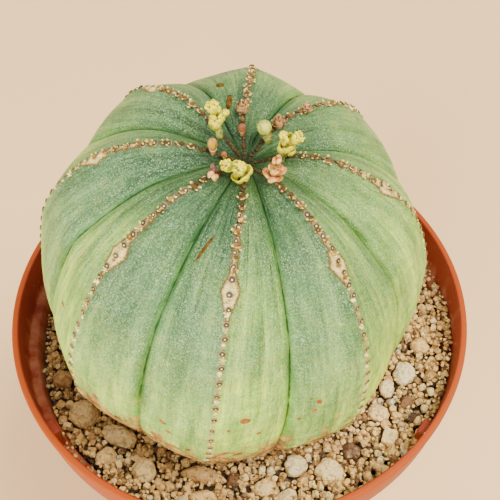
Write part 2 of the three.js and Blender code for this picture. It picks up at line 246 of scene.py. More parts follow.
def pot_inside():
    paint = Finish("pot_inside", 0.55, Specular_IOR_Level=0.2)
    place = paint.place()
    height = paint.split(place, "Z")
    tall = {"Vector": place, "Scale": (1.0, 1.0, 0.15)}
    streak = paint.add("ShaderNodeMapping", tall, vector_type="POINT")
    color = paint.blend(paint.noise(90, 3), tint(0.19, 0.024, 0.01), tint(0.29, 0.04, 0.013))
    low = paint.span(height, (LEDGE_HEIGHT + 4) * MM, (LEDGE_HEIGHT - 1) * MM)
    reach = paint.math("ADD", paint.span(paint.noise(260, 5, streak, 0.65), 0.4, 0.7, -0.5, 0.6), low)
    color = paint.lay(color, reach, (0.3, 1.3, 0, 0.8), tint(0.5, 0.19, 0.09))
    specks = paint.times(paint.span(paint.cells(420), 0.0, 0.14, 1, 0), paint.noise(60))
    color = paint.blend(specks, color, tint(0.7, 0.5, 0.32))
    return paint.done(color, paint.bump(paint.noise(500, 4), 0.00004))


bm = bmesh.new()
turned(
    bm,
    eased(
        [
            (0, FOOT_RECESS),
            (FOOT_RADIUS - FOOT_RING - 0.6, FOOT_RECESS),
            (FOOT_RADIUS - FOOT_RING, 0),
            (FOOT_RADIUS - 0.3, 0),
            (FOOT_RADIUS + 0.1, 1),
            (LEDGE_INNER + POT_WALL, LEDGE_HEIGHT - 2),
            (RIM_RADIUS - 0.7, LEDGE_HEIGHT - 1.7),
            (RIM_RADIUS - 0.25, RIM_HEIGHT - 2.2),
            (RIM_RADIUS, RIM_HEIGHT - 1.8),
            (RIM_RADIUS, RIM_HEIGHT),
            (RIM_RADIUS - POT_WALL - 0.1, RIM_HEIGHT),
            (COLLAR_INNER, LEDGE_HEIGHT),
            (LEDGE_INNER, LEDGE_HEIGHT - 0.5),
            (FLOOR_INNER, FLOOR_TOP),
            (0, FLOOR_TOP),
        ],
        CORNER_ROUNDING,
    ),
    POT_STEPS,
)
for azimuth in LUG_AZIMUTHS:
    lug = bmesh.ops.create_cube(bm, size=1)["verts"]
    edges = {edge for corner in lug for edge in corner.link_edges}
    bmesh.ops.scale(bm, verts=lug, vec=[size * MM for size in LUG_SIZE])
    bmesh.ops.rotate(bm, verts=lug, cent=(0, 0, 0), matrix=Matrix.Rotation(radians(azimuth), 3, "Z"))
    bmesh.ops.translate(bm, verts=lug, vec=around(COLLAR_INNER - 0.35, azimuth, LEDGE_HEIGHT + 2.9))
    bmesh.ops.bevel(
        bm, geom=list(edges), offset=0.4 * MM, segments=3, profile=0.5, affect="EDGES", material=-1
    )
for face in bm.faces:
    middle = face.calc_center_median()
    inward = face.normal.x * middle.x + face.normal.y * middle.y < -0.2 * hypot(middle.x, middle.y)
    on_floor = middle.z < 4 * MM and face.normal.z > 0.9 and middle.z > 2 * MM
    on_ledge = face.normal.z > 0.5 and hypot(middle.x, middle.y) < (COLLAR_INNER + 0.1) * MM
    if (inward and middle.z > FLOOR_TOP * MM) or on_floor or on_ledge:
        face.material_index = 1
pot = add_piece("pot_shell", bm, [pot_outside(), pot_inside()], "pot_plastic", "pot", sharp=35)

bm = bmesh.new()
posts = [(0, 0)] + [(DRAIN_CIRCLE, azimuth) for azimuth in range(0, 360, 60)]
for distance, azimuth in posts:
    bmesh.ops.create_cone(
        bm,
        cap_ends=True,
        segments=32,
        radius1=DRAIN_RADIUS * MM,
        radius2=DRAIN_RADIUS * MM,
        depth=10 * MM,
        matrix=Matrix.Translation(around(distance, azimuth, FLOOR_TOP)),
    )
cutter = new_object("drain_cutter", as_mesh("drain_cutter", bm))
holes = pot.modifiers.new("drain_holes", "BOOLEAN")
holes.operation = "DIFFERENCE"
holes.object = cutter
drilled = bpy.data.meshes.new_from_object(pot.evaluated_get(bpy.context.evaluated_depsgraph_get()))
pot.modifiers.clear()
pot.data = drilled
bpy.data.objects.remove(cutter)


# ---- Plant body ------------------------------------------------------------------------------
# One round stem of eight ribs with a sharp crease between each two. It narrows below the grit
# to a woody taproot. The skin is green under a pale waxy bloom, with corky patches on the crests.

BODY_X, BODY_Y = -1.5, -0.1
BODY_Z = RIM_HEIGHT + 10.6
CREST_RADIUS = 35.3
UPPER_HEIGHT, LOWER_HEIGHT = 35.0, 29.0
APEX_DIMPLE = 3.0
LEAN_RIGHT, LEAN_FRONT = tan(radians(5.3)), tan(radians(4))
CRESTS = np.array([-5, 39, 85, 134, 177, 223, 267, 311], dtype=float)
GROOVES = np.array([16, 60, 105, 154, 203, 247, 290, 333], dtype=float)
RIBS = len(CRESTS)
# Round the apex the ribs turn a little, the creases between them deepen, and the growing point
# sits in a pit of its own.
CREST_TWISTS = np.array([0.5, 1.5, 7.5, 10, 11, 1.5, -1, 1])
GROOVE_TWISTS = np.array([1, 4, 8, 10, 7, 1, 0, 0.5])
APEX_PIT, PIT_RADIUS = 0.8, 3.5
CREASE_DROP = 1.75
BODY_END = radians(162)
ROOT_LENGTH, ROOT_RADIUS = 20.0, 7.5
CREST_ROUNDING = 0.02
FLANK_CURVE = 0.8
PINCH_WIDTH = 0.38  # of the notch at the bottom of a crease
FOOT_ARC = 60  # distance down from the apex at which the brown foot starts
SCAR_RANGE = 70  # distance down from the apex at which the leaf scars end
COLUMNS, ROWS = 320, 290

# The crest's outline from the apex down to the tip of the taproot, by distance along it.
angles = np.linspace(0, 1, 1600) ** 1.6 * BODY_END
upper = angles <= pi / 2
across, along = np.sin(angles), np.abs(np.cos(angles))
line_radius = CREST_RADIUS * np.where(upper, across**0.71, across**1.07)
line_height = np.where(upper, UPPER_HEIGHT * along**1.03, -LOWER_HEIGHT * along**0.72)
hollow = APEX_DIMPLE * np.exp(-((line_radius / (0.25 * CREST_RADIUS)) ** 2))
hollow = hollow + APEX_PIT * np.exp(-((line_radius / PIT_RADIUS) ** 2))
line_height = line_height - hollow * upper
line_twist = np.exp(-((angles / 0.227) ** 2))
line_drop = CREASE_DROP * np.exp(-(((angles - 0.23) / 0.19) ** 2)) * np.minimum(line_radius / 3, 1)
line_depth = np.interp(angles, [0, 0.9, 1.6, 2.75], [0.418, 0.072, 0.055, 0.048])
root = np.linspace(0.02, 1, 60)
root_radius = (ROOT_RADIUS + 1.4 * (1 - root) ** 3) * np.sqrt(1 - root**2) * (1 - 0.35 * root)
line_radius = np.append(line_radius, root_radius)
line_height = np.append(line_height, line_height[-1] - 1 - ROOT_LENGTH * root)
line_depth = np.append(line_depth, 0.04 * (1 - root))
line_twist, line_drop = (np.append(line, 0 * root) for line in (line_twist, line_drop))
line_arc = np.append(0, np.cumsum(np.hypot(np.diff(line_radius), np.diff(line_height))))


def node_arcs():
    """Distances from the apex of the leaf scars along a crest, closer together near the apex."""
    arcs = [1.7]
    while arcs[-1] < SCAR_RANGE:
        step = np.interp(arcs[-1], [0, 4, 10, 28, 34, 60], [0.9, 1.3, 1.95, 2.1, 2.8, 3.0])
        arcs.append(arcs[-1] + step)
    return np.array(arcs)


NODE_ARCS = node_arcs()


def planted(x, y, z):
    """Body coordinates in millimetres, leaned over and set in the pot, in metres."""
    return np.stack(
        [
            x + LEAN_RIGHT * z + BODY_X,
            y - LEAN_FRONT * z + BODY_Y,
            z - LEAN_RIGHT * x + LEAN_FRONT * y + BODY_Z,
        ],
        -1,
    ) * MM


def skin(rib, share, arc):
    """Points of the skin: rib number from 0, share -1..1 from groove over crest to groove, and
    distance in millimetres from the apex along the crest."""
    radius = np.interp(arc, line_arc, line_radius)
    height = np.interp(arc, line_arc, line_height)
    depth = np.interp(arc, line_arc, line_depth)
    twist = np.interp(arc, line_arc, line_twist)
    crest = CRESTS[rib] + CREST_TWISTS[rib] * twist
    right = crest + (GROOVES[rib] + GROOVE_TWISTS[rib] * twist - crest) % 360
    left = crest - (crest - GROOVES[rib - 1] - GROOVE_TWISTS[rib - 1] * twist) % 360
    half = np.radians(np.where(share > 0, right - crest, crest - left))
    size = np.abs(share)
    blunt = np.sqrt(size**2 + CREST_ROUNDING**2) - CREST_ROUNDING
    blunt = blunt / (sqrt(1 + CREST_ROUNDING**2) - CREST_ROUNDING)
    flank = 1 - (1 - np.minimum(blunt, 1)) ** FLANK_CURVE
    out = radius * (1 - depth * flank)
    wide = half * radius
    to_crest = size * wide
    to_groove = (1 - size) * wide
    beat = np.interp(arc, NODE_ARCS, np.arange(len(NODE_ARCS)))
    fade = np.clip((arc - 1) / 6, 0, 1) * np.clip((76 - arc) / 8, 0, 1)
    pinch = np.exp(-((to_groove / PINCH_WIDTH) ** 2))
    out = out - (0.15 + 0.4 * np.clip(arc / 8, 0, 1)) * pinch * fade
    # Every leaf scar stands on a low knob, a fold crosses the flanks from it, and the whole skin
    # swells a little here and there.
    knob = np.exp(-(to_crest**2)) * (0.12 + 0.2 * np.cos(2 * pi * beat))
    fold = 0.05 * np.sin(2 * pi * beat + 0.5 * to_crest) * np.clip(to_crest / 3, 0, 1)
    turn = np.radians(crest) + np.sign(share) * size * half
    swell = 0.28 * np.sin(3.1 * turn + 0.11 * arc) * np.sin(0.19 * arc + 1.3 * rib)
    lift = (knob + fold * np.clip(to_groove / 2, 0, 1) + swell) * fade
    out = out + lift * np.clip(radius / 12, 0, 1)
    height = height + (knob * fade) * np.clip(1 - radius / 30, 0, 1)
    height = height - np.interp(arc, line_arc, line_drop) * flank
    return planted(out * np.sin(turn), -out * np.cos(turn), height)


# Rib by rib: the middle of its corky patch, how deep and blue the painted shade on its left and
# right flanks is, and how bold the painted shade in the crease on its right is.
CORK_ARCS = np.array([24.2, 23.2, 23.6, 27.5, 25.0, 24.0, 25.0, 26.2])
LEFT_FLANK_SHADE = np.array([0.95, 0.85, 0.1, 0.3, 0.4, 0.6, 0.4, 0.15])
RIGHT_FLANK_SHADE = np.array([0.3, 0.15, 0.1, 0.4, 0.6, 0.6, 0.95, 0.9])
CREASE_WIDTH = np.array([1, 0.4, 0.5, 0.7, 0.7, 0.7, 0.8, 1])


def plant_skin():
    paint = Finish("plant_skin", 0.5, Specular_IOR_Level=0.3)
    place = paint.read("rib_place", "Vector")
    form = paint.read("rib_form", "Vector")
    across = paint.math("ABSOLUTE", paint.split(place, "X"))
    arc = paint.split(place, "Y")
    below_patch = paint.split(place, "Z")
    from_patch = paint.math("ABSOLUTE", below_patch)
    wander = paint.span(paint.noise(420, 3), 0.3, 0.7, -0.1, 0.14)
    crease = paint.math("ADD", paint.split(form, "X"), wander)
    turn = paint.split(form, "Y")
    flank_shade = paint.split(form, "Z")
    cloud = paint.noise(110, 4)

    # Deep green at the apex and paler down the flanks. One flank of each rib is deeper and bluer
    # than the other: painted shade, set flank by flank to how the light falls on each.
    def greens(drift, *stops):
        level = paint.math("ADD", arc, paint.span(cloud, 0.3, 0.7, drift, -drift))
        return paint.ramp(paint.span(level, 0, FOOT_ARC), *stops)

    deep = greens(
        -4,
        (0.06, 0.028, 0.07, 0.024),
        (0.19, 0.036, 0.1, 0.034),
        (0.3, 0.048, 0.12, 0.04),
        (0.42, 0.075, 0.165, 0.055),
        (0.6, 0.115, 0.23, 0.07),
        (0.78, 0.19, 0.34, 0.075),
        (0.96, 0.28, 0.46, 0.07),
    )
    light = greens(
        4,
        (0.06, 0.04, 0.1, 0.03),
        (0.19, 0.08, 0.16, 0.035),
        (0.3, 0.135, 0.25, 0.045),
        (0.42, 0.22, 0.37, 0.06),
        (0.6, 0.3, 0.48, 0.065),
        (0.78, 0.36, 0.58, 0.055),
        (0.96, 0.42, 0.64, 0.05),
    )
    shade_mix = paint.math("ADD", flank_shade, paint.span(cloud, 0.35, 0.65, -0.22, 0.22))
    color = paint.blend(paint.span(shade_mix, 0, 1), light, deep)

    # Soft folds and streaks that run down from the apex, and faint bands across them.
    def drawn_out(turns, drops, detail, roughness=0.5):
        stretched = paint.join(paint.times(turn, turns), paint.times(arc, drops))
        return paint.noise(1.0, detail, stretched, roughness)

    folds = drawn_out(9.0, 0.045, 3)
    streaks = drawn_out(34.0, 0.16, 4, 0.65)
    bands = drawn_out(5.0, 0.55, 4, 0.6)
    for field, limits, over in (
        (folds, (0.51, 0.62), (0.6, 0.7, 0.64)),
        (folds, (0.48, 0.37), (1.5, 1.32, 1.3)),
        (streaks, (0.52, 0.66), (0.65, 0.74, 0.66)),
        (streaks, (0.48, 0.36, 0, 0.8), (1.4, 1.28, 1.35)),
        (bands, (0.53, 0.66, 0, 0.8), (1.35, 1.02, 0.95)),
        (bands, (0.47, 0.36, 0, 0.7), (0.72, 0.84, 0.8)),
    ):
        color = paint.lay(color, field, limits, tint(*over), "MULTIPLY")

    # Painted shade in the crease: the green deepens beside it, and a dark line of painted shade
    # lies in it, fading towards the foot.
    color = paint.lay(color, crease, (2.6, 0.2, 0, 0.75), tint(0.5, 0.74, 0.48), "MULTIPLY")
    fading = paint.span(arc, 46, 62, 0.95, 0.15)
    crease_shade = paint.times(paint.span(crease, 0.22, 0.06), fading)
    color = paint.blend(crease_shade, color, tint(0.007, 0.05, 0.004))

    # Specks of white wax, thick in places, and tiny dark dents.
    thick = paint.span(paint.noise(240, 3), 0.35, 0.65, 0.4, 1)
    thick = paint.times(thick, paint.span(arc, 3, 20, 0.4, 1))
    thick = paint.times(thick, paint.span(crease, 0.2, 0.9))
    grain = paint.noise(3700, 3, roughness=0.85)
    fine = paint.span(grain, 0.52, 0.64, 0, 0.72)
    pale = paint.blend(0.55, color, tint(0.56, 0.76, 0.38))
    color = paint.blend(paint.times(fine, thick), color, pale)
    color = paint.lay(color, grain, (0.49, 0.38, 0, 0.9), tint(0.5, 0.62, 0.5), "MULTIPLY")
    reach = paint.span(paint.split(paint.cells(4500, output="Color"), "X"), 0.3, 1.0, 0.02, 0.48)
    dots = paint.span(paint.math("SUBTRACT", paint.cells(4500), reach), 0.02, -0.1, 0, 0.52)
    color = paint.blend(paint.times(dots, thick), color, tint(0.64, 0.82, 0.44))

    # Cork: a thin line on the crest, a barbed lozenge on the shoulder, brown towards the foot.
    barbs = paint.noise(1.0, 3, paint.join(paint.split(place, "X"), paint.times(arc, 4.5)), 0.7)
    rag = paint.span(barbs, 0.3, 0.7, -0.32, 0.32)
    neck = paint.span(paint.math("ABSOLUTE", paint.math("ADD", below_patch, 5.0)), 2.5, 4.5, 0.38, -0.1)
    half_width = paint.math("MAXIMUM", paint.span(from_patch, 0.0, 4.4, 1.4, -0.1), neck)
    edge = paint.math("SUBTRACT", paint.math("ADD", across, rag), half_width)
    patch = paint.span(edge, 0.1, -0.1)
    rind = paint.span(paint.math("ABSOLUTE", edge), 0.34, 0.08, 0, 0.75)
    cork = paint.ramp(
        barbs,
        (0.3, 0.3, 0.15, 0.03),
        (0.42, 0.8, 0.56, 0.13),
        (0.56, 1.0, 0.86, 0.3),
    )
    line = paint.span(paint.math("ADD", across, rag), 0.5, 0.15)
    line = paint.times(line, paint.span(arc, 16, 34, 0.85, 0.45))
    line_color = paint.ramp(
        paint.span(arc, 0, FOOT_ARC),
        (0.1, 0.04, 0.025, 0.012),
        (0.25, 0.14, 0.07, 0.02),
        (0.45, 0.4, 0.26, 0.06),
        (0.8, 0.6, 0.42, 0.09),
    )
    color = paint.blend(line, color, line_color)
    color = paint.blend(patch, color, cork)
    near = paint.span(half_width, -0.08, 0.1)
    color = paint.blend(paint.times(rind, near), color, tint(0.17, 0.075, 0.014))
    ragged = paint.span(paint.noise(300, 5, roughness=0.65), 0.3, 0.7, -7.5, 7.5)
    foot = paint.span(paint.math("ADD", arc, ragged), FOOT_ARC, FOOT_ARC + 2.5)
    rust = paint.ramp(
        paint.noise(520, 5, roughness=0.6),
        (0.35, 0.13, 0.05, 0.016),
        (0.48, 0.32, 0.15, 0.035),
        (0.6, 0.6, 0.36, 0.07),
    )
    color = paint.blend(foot, color, rust)
    stain = paint.span(paint.noise(210, 5), 0.56, 0.68, 0, 0.7)
    stain = paint.times(paint.span(arc, 50, 62), stain)
    color = paint.blend(stain, color, tint(0.42, 0.2, 0.04))
    height = paint.split(paint.place(), "Z")
    buried = paint.span(height, (RIM_HEIGHT - 16) * MM, (RIM_HEIGHT - 11) * MM, 1, 0)
    color = paint.blend(buried, color, tint(0.2, 0.12, 0.06))

    rough, crust = paint.noise(1900, 4, roughness=0.6), paint.times(patch, barbs)
    relief = paint.bump(folds, 0.0012)
    for height, depth in ((streaks, 0.0003), (bands, 0.0003), (rough, 0.00014), (crust, 0.00045)):
        relief = paint.bump(height, depth, relief)
    return paint.done(color, relief)


def rib_share(column):
    """Rib number and unsigned share for a column number, crests and grooves on whole columns."""
    per_rib = COLUMNS // RIBS
    place = column / per_rib
    rib = np.floor(place).astype(int) % RIBS
    part = place - np.floor(place)
    second = part > 0.5
    t = np.where(second, 2 - 2 * part, 2 * part)
    return np.where(second, (rib + 1) % RIBS, rib), 0.5 * (1 - np.cos(pi * t)), second


bm = bmesh.new()
bmesh.ops.create_uvsphere(bm, u_segments=COLUMNS, v_segments=ROWS, radius=1)
plant = add_piece("plant_stem", bm, [plant_skin()], "plant_skin", "plant_body")
mesh = plant.data
ball = np.empty(len(mesh.vertices) * 3)
mesh.vertices.foreach_get("co", ball)
ball = ball.reshape(-1, 3)
drop = np.arccos(np.clip(ball[:, 2], -1, 1)) / pi
arcs = np.interp(drop, [0, 0.035, 0.87, 1], [0, 1.4, 77, line_arc[-1]])
column = np.round(np.arctan2(ball[:, 1], ball[:, 0]) / (2 * pi) * COLUMNS) % COLUMNS
rib, size, second = rib_share(column)
place = skin(rib, np.where(second, -size, size), arcs)
mesh.vertices.foreach_set("co", place.ravel())

# Each face corner carries its distance across from the crest and down from the apex.
corner_vertex = np.empty(len(mesh.loops), dtype=int)
mesh.loops.foreach_get("vertex_index", corner_vertex)
sides = np.empty(len(mesh.polygons), dtype=int)
mesh.polygons.foreach_get("loop_total", sides)
face = np.repeat(np.arange(len(sides)), sides)
middle = np.stack([np.bincount(face, ball[corner_vertex, i]) for i in range(2)], -1)
face_column = np.arctan2(middle[:, 1], middle[:, 0]) / (2 * pi) * COLUMNS % COLUMNS
face_rib, _, face_second = rib_share(face_column)
side = np.where(face_second, -1.0, 1.0)[face]
corner_rib = face_rib[face]
corner_share = size[corner_vertex] * side
corner_arc = arcs[corner_vertex]
crest = CRESTS[corner_rib]
to_right = (GROOVES[corner_rib] - crest) % 360
to_left = (crest - GROOVES[corner_rib - 1]) % 360
half = np.radians(np.where(side > 0, to_right, to_left))
wide = half * np.interp(corner_arc, line_arc, line_radius)
crease = wide * (1 - np.abs(corner_share))
crease = crease / np.where(side > 0, CREASE_WIDTH[corner_rib], CREASE_WIDTH[corner_rib - 1])
from_cork = corner_arc - CORK_ARCS[corner_rib]
# Each flank's painted shade, from the rib by rib tables above.
flank_shade = np.where(side > 0, RIGHT_FLANK_SHADE[corner_rib], LEFT_FLANK_SHADE[corner_rib])
rib_place = np.stack([corner_share * wide, corner_arc, from_cork], -1)
rib_form = np.stack([crease, corner_rib + 0.5 * corner_share, flank_shade], -1)
for name, values in (("rib_place", rib_place), ("rib_form", rib_form)):
    mesh.attributes.new(name, "FLOAT_VECTOR", "CORNER").data.foreach_set("vector", values.ravel())
mesh.update()


def on_skin(rib, across, arc):
    """Point and outward normal on the skin, across in millimetres from the crest of a rib."""
    crest = CRESTS[rib]
    reach = (GROOVES[rib] - crest) % 360 if across > 0 else (crest - GROOVES[rib - 1]) % 360
    wide = radians(reach) * np.interp(arc, line_arc, line_radius)
    share = max(min(across / wide, 0.98), -0.98)
    step = 0.02
    ribs = np.array([rib] * 4)
    shares = np.array([share, share + step, share - step, share])
    arcs = np.array([arc, arc, arc, arc + 0.4])
    spots = [Vector(spot) for spot in skin(ribs, shares, arcs)]
    sideways = spots[1] - spots[2]
    down = spots[3] - spots[0]
    normal = down.cross(sideways).normalized()
    return spots[0], normal


def standing(point, normal, spin, size):
    """A matrix that stands a unit shape on a point along a normal, spun and sized in millimetres."""
    turn = normal.to_track_quat("Z", "Y").to_matrix().to_4x4()
    scale = Matrix.Diagonal((*(value * MM for value in size), 1))
    return Matrix.Translation(point) @ turn @ Matrix.Rotation(spin, 4, "Z") @ scale


# ---- Leaf scars and stalk stumps -------------------------------------------------------------
# Every crest carries a row of leaf scars, each a small dark ring round a pale middle, and
# between them the rough stumps of flower stalks that fell off. Near the apex all are stumps.

random.seed(5)
RINGS_FROM = 11.0
STARS_FROM = 7.0
RING_RADIUS = 0.62
RING_SIZE = 0.86
RING_LIFT, STUMP_LIFT = 0.04, 0.1


def scar_finish():
    paint = Finish("leaf_scar", 0.6)
    ring = paint.read("ring")
    wobble = paint.math("ADD", ring, paint.span(paint.noise(2500, 2), 0.3, 0.7, -0.1, 0.1))
    color = paint.ramp(
        wobble,
        (0.0, 0.85, 0.75, 0.2),
        (0.26, 0.6, 0.45, 0.1),
        (0.34, 0.022, 0.016, 0.005),
        (0.76, 0.025, 0.017, 0.006),
        (0.9, 0.3, 0.17, 0.05),
    )
    return paint.done(color)


def stump_finish():
    paint = Finish("stalk_stump", 0.8, Specular_IOR_Level=0.1)
    color = paint.ramp(
        paint.read("age"),
        (0.0, 0.045, 0.036, 0.012),
        (0.3, 0.11, 0.062, 0.016),
        (0.6, 0.38, 0.2, 0.04),
        (1.0, 1.0, 0.84, 0.34),
    )
    grain = paint.span(paint.noise(2600, 3), 0.45, 0.62, 0, 0.7)
    color = paint.blend(grain, color, tint(0.07, 0.036, 0.01))
    color = paint.lay(color, paint.read("tip"), (0.45, 1.0, 0, 0.9), tint(1.0, 0.74, 0.22))
    return paint.done(color, paint.bump(paint.noise(3500, 3), 0.0001))


def join_in(bm, part):
    """Adds a bmesh to another and lets it go."""
    passing = as_mesh("part", part)
    bm.from_mesh(passing)
    bpy.data.meshes.remove(passing)


def scatter(bm, value_name, items):
    """Copies a stamp's mesh by each item's matrix, and gives each copy's corners its value.
    The copies are gathered in small batches, which keeps the work short."""
    batch_size = 40
    for start in range(0, len(items), batch_size):
        batch = bmesh.new()
        layer = batch.verts.layers.float.new(value_name) if value_name else None
        for stamp_mesh, matrix, value in items[start : start + batch_size]:
            before = len(batch.verts)
            batch.from_mesh(stamp_mesh)
            batch.verts.ensure_lookup_table()
            fresh = batch.verts[before:]
            bmesh.ops.transform(batch, matrix=matrix, verts=fresh)
            if layer:
                for corner in fresh:
                    corner[layer] = value
        join_in(bm, batch)


def ring_stamp():
    """A flat-bottomed scar: pale button, dark trough and low rim, with its ring position stored."""
    bm = bmesh.new()
    turned(bm, [(0, 0.10), (0.2, 0.09), (0.34, 0.0), (0.46, 0.05), (RING_RADIUS, -0.12)], 9)
    bmesh.ops.scale(bm, vec=(1 / MM, 1 / MM, 1 / MM), verts=bm.verts)
    layer = bm.verts.layers.float.new("ring")
    for corner in bm.verts:
        corner[layer] = min(hypot(corner.co.x, corner.co.y) / RING_RADIUS, 1)
    return as_mesh("ring_stamp", bm)


def stump_stamp(seed, flakes):
    """The dried foot of a flower stalk: a crusty knob, bare or in a star of curled flakes."""
    rng = random.Random(seed)
    bm = bmesh.new()
    tip = bm.verts.layers.float.new("tip")
    knob = bmesh.ops.create_icosphere(bm, subdivisions=1, radius=0.34)["verts"]
    for corner in knob:
        corner.co *= rng.uniform(0.7, 1.25)
        corner.co.z *= 0.9
        corner[tip] = rng.choice((0, 0, 0.8)) if flakes else 0
    for i in range(flakes):
        azimuth = i * 2 * pi / flakes + rng.uniform(-0.6, 0.6)
        length = rng.uniform(0.35, 0.65)
        flake = bmesh.ops.create_cone(
            bm, cap_ends=True, segments=4, radius1=0.24, radius2=0.09, depth=length
        )["verts"]
        for corner in flake:
            corner[tip] = 1.0 if corner.co.z > 0 else 0.0
        lean = Matrix.Rotation(rng.uniform(0.2, 1.3), 4, "X")
        flat = Matrix.Diagonal((1.0, 0.5, 1.0, 1))
        spot = Matrix.Translation((0, rng.uniform(-0.42, -0.22), rng.uniform(0.02, 0.2)))
        place = Matrix.Rotation(azimuth, 4, "Z") @ spot @ lean @ flat
        bmesh.ops.transform(bm, matrix=place, verts=flake)
    return as_mesh("stump_stamp", bm)


ring = ring_stamp()
stars = [stump_stamp(seed, 3 + seed % 3) for seed in range(9)]
knobs = [stump_stamp(seed, 0) for seed in range(4)]
scar_items, stump_items = [], []
for rib in range(RIBS):
    for i, arc in enumerate(NODE_ARCS[:-1]):
        arc = arc + random.uniform(-0.15, 0.15)
        gap = NODE_ARCS[i + 1] - NODE_ARCS[i]
        young = np.interp(arc, [0, 5, 12, 60], [0.55, 0.75, 1.0, 1.0])
        point, normal = on_skin(rib, random.uniform(-0.12, 0.12), arc)
        size = RING_SIZE * young * random.uniform(0.85, 1.12)
        if arc > RINGS_FROM:
            place = point + normal * RING_LIFT * MM
            matrix = standing(place, normal, random.random() * 6, [size] * 3)
            scar_items.append((ring, matrix, 0))
        else:
            size = np.interp(arc, [0, 6, RINGS_FROM], [0.7, 1.05, 1.25])
            place = point + normal * STUMP_LIFT * MM
            matrix = standing(place, normal, random.random() * 6, [size] * 3)
            stump_items.append((knobs[i % len(knobs)], matrix, random.uniform(0.0, 0.3)))
        point, normal = on_skin(rib, random.uniform(-0.2, 0.2), arc + gap * 0.5)
        starry = np.interp(arc, [STARS_FROM, 24, 30, 40], [1.0, 0.9, 0.35, 0.15])
        star = arc > STARS_FROM and random.random() < starry
        stamps = stars if star else knobs
        low, high = ([0.85, 1.5, 1.1, 0.8], 1.25) if star else ([0.9, 1.2, 1.1, 0.95], 1.4)
        size = np.interp(arc, [0, 12, 24, 60], low) * random.uniform(0.75, high)
        age = np.interp(arc, [0, 8, 20, 30, 70], [0.1, 0.3, 0.6, 0.95, 0.9]) + random.uniform(-0.25, 0.2)
        sizes = (size, size * 1.1, size * 0.8)
        place = point + normal * STUMP_LIFT * MM
        matrix = standing(place, normal, random.random() * 6, sizes)
        stump_items.append((stamps[(i + rib) % len(stamps)], matrix, age))
bm = bmesh.new()
scatter(bm, None, scar_items)
add_piece("leaf_scars", bm, [scar_finish()], "plant_skin")
bm = bmesh.new()
scatter(bm, "age", stump_items)
add_piece("stalk_stumps", bm, [stump_finish()], "dried_flower", sharp=40)


# ---- Skin scars ------------------------------------------------------------------------------
# Corky scabs where the skin was scratched or grazed, and small rust-red spots low on the ribs.
# Each is a thin dry crust grown on the skin.

SCABS = [  # rib, across, down from the apex, length, width, turn in degrees
    (0, -5.3, 21.0, 4.8, 0.5, -28),
    (4, 3.7, 14.4, 3.6, 1.1, 4),
    (4, 6.1, 20.6, 2.0, 1.1, 35),
    (0, 5.0, 47.9, 1.8, 1.3, 80),
    (1, -8.6, 47.3, 1.3, 0.9, 20),
    (1, -9.4, 49.7, 1.0, 0.8, 60),
    (0, 7.7, 52.6, 1.0, 0.7, 70),
    (0, 2.6, 50.0, 0.8, 0.6, 10),
    (0, -8.4, 52.9, 1.6, 0.7, 70),
    (0, -7.2, 55.0, 1.2, 0.5, 80),
    (1, -12.0, 51.7, 1.0, 0.5, 40),
    (7, -6.0, 44.0, 1.2, 0.6, 75),
    (2, 6.5, 38.0, 1.4, 0.6, 60),
    (3, -5.0, 46.0, 1.8, 0.8, 20),
    (5, 5.5, 40.0, 2.0, 0.6, 50),
]
SPOTS_FROM = 35.0  # lower than this they are the rust-red spots
SCAB_HEIGHT = 0.16


def scab_finish(name, dark, light):
    paint = Finish(name, 0.75, Specular_IOR_Level=0.1)
    color = paint.blend(paint.span(paint.noise(1700, 3), 0.35, 0.65), dark, light)
    return paint.done(color, paint.bump(paint.noise(2500, 3), 0.00008))


def add_scab(bm, rib, across, arc, length, width, turn):
    point, normal = on_skin(rib, across, arc)
    down = (on_skin(rib, across, arc + 1)[0] - point).normalized()
    side = normal.cross(down)
    heading = down * cos(radians(turn)) + side * sin(radians(turn))
    basis = Matrix((heading, normal.cross(heading), normal)).transposed().to_4x4()
    scale = Matrix.Diagonal((length / 2 * MM, width / 2 * MM, SCAB_HEIGHT * MM, 1))
    scab = bmesh.ops.create_icosphere(
        bm, subdivisions=3, radius=1, matrix=Matrix.Translation(point) @ basis @ scale
    )["verts"]
    for corner in scab:
        rough = noise.noise(corner.co * 1600)
        corner.co += (corner.co - point) * 0.22 * rough


for name, low, high, dark, light in (
    ("skin_scabs", 0, SPOTS_FROM, tint(0.045, 0.022, 0.003), tint(0.17, 0.08, 0.008)),
    ("rust_spots", SPOTS_FROM, 100, tint(0.17, 0.06, 0.01), tint(0.42, 0.15, 0.02)),
):
    bm = bmesh.new()
    for scab in SCABS:
        if low < scab[2] < high:
            add_scab(bm, *scab)
    add_piece(name, bm, [scab_finish(name, dark, light)], "plant_skin")


# ---- Grit bed --------------------------------------------------------------------------------
# Sandy pumice and akadama that fills the pot. Its mass is one solid, and its surface is made of
# loose grains poured on it, from dust to small stones, which bank up against the front wall.

GRIT_DEPTH = 10.3
GRIT_SLOPE = 0.036
GRIT_HIGH_AZIMUTH = 58
SIDE_FROM, TOP_FROM = 60.0, 63.5  # heights over which the mass is cut finer and made rough
TOP_REACH = 40.5


def grit_level(x, y):
    """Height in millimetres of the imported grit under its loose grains."""
    high = radians(GRIT_HIGH_AZIMUTH)
    waves = 0.35 * sin(x / 5) * cos(y / 6)
    return RIM_HEIGHT - GRIT_DEPTH + GRIT_SLOPE * (x * sin(high) - y * cos(high)) + waves


def cad_copy(node):
    """A merged copy of a node's own mesh."""
    bm = bmesh.new()
    bm.from_mesh(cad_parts[node].data)
    bmesh.ops.remove_doubles(bm, verts=bm.verts, dist=1e-6)
    return bm


# The grit's mass is painted dark brown to near black: painted shade for the gaps between the loose grains
# lying on it.
def gap_shade_finish():
    paint = Finish("grit_gap_shade", 0.95)
    color = paint.ramp(
        paint.noise(900, 5),
        (0.3, 0.025, 0.018, 0.01),
        (0.52, 0.09, 0.06, 0.03),
        (0.7, 0.26, 0.17, 0.08),
    )
    return paint.done(color, paint.bump(paint.noise(1100, 5), 0.0004))


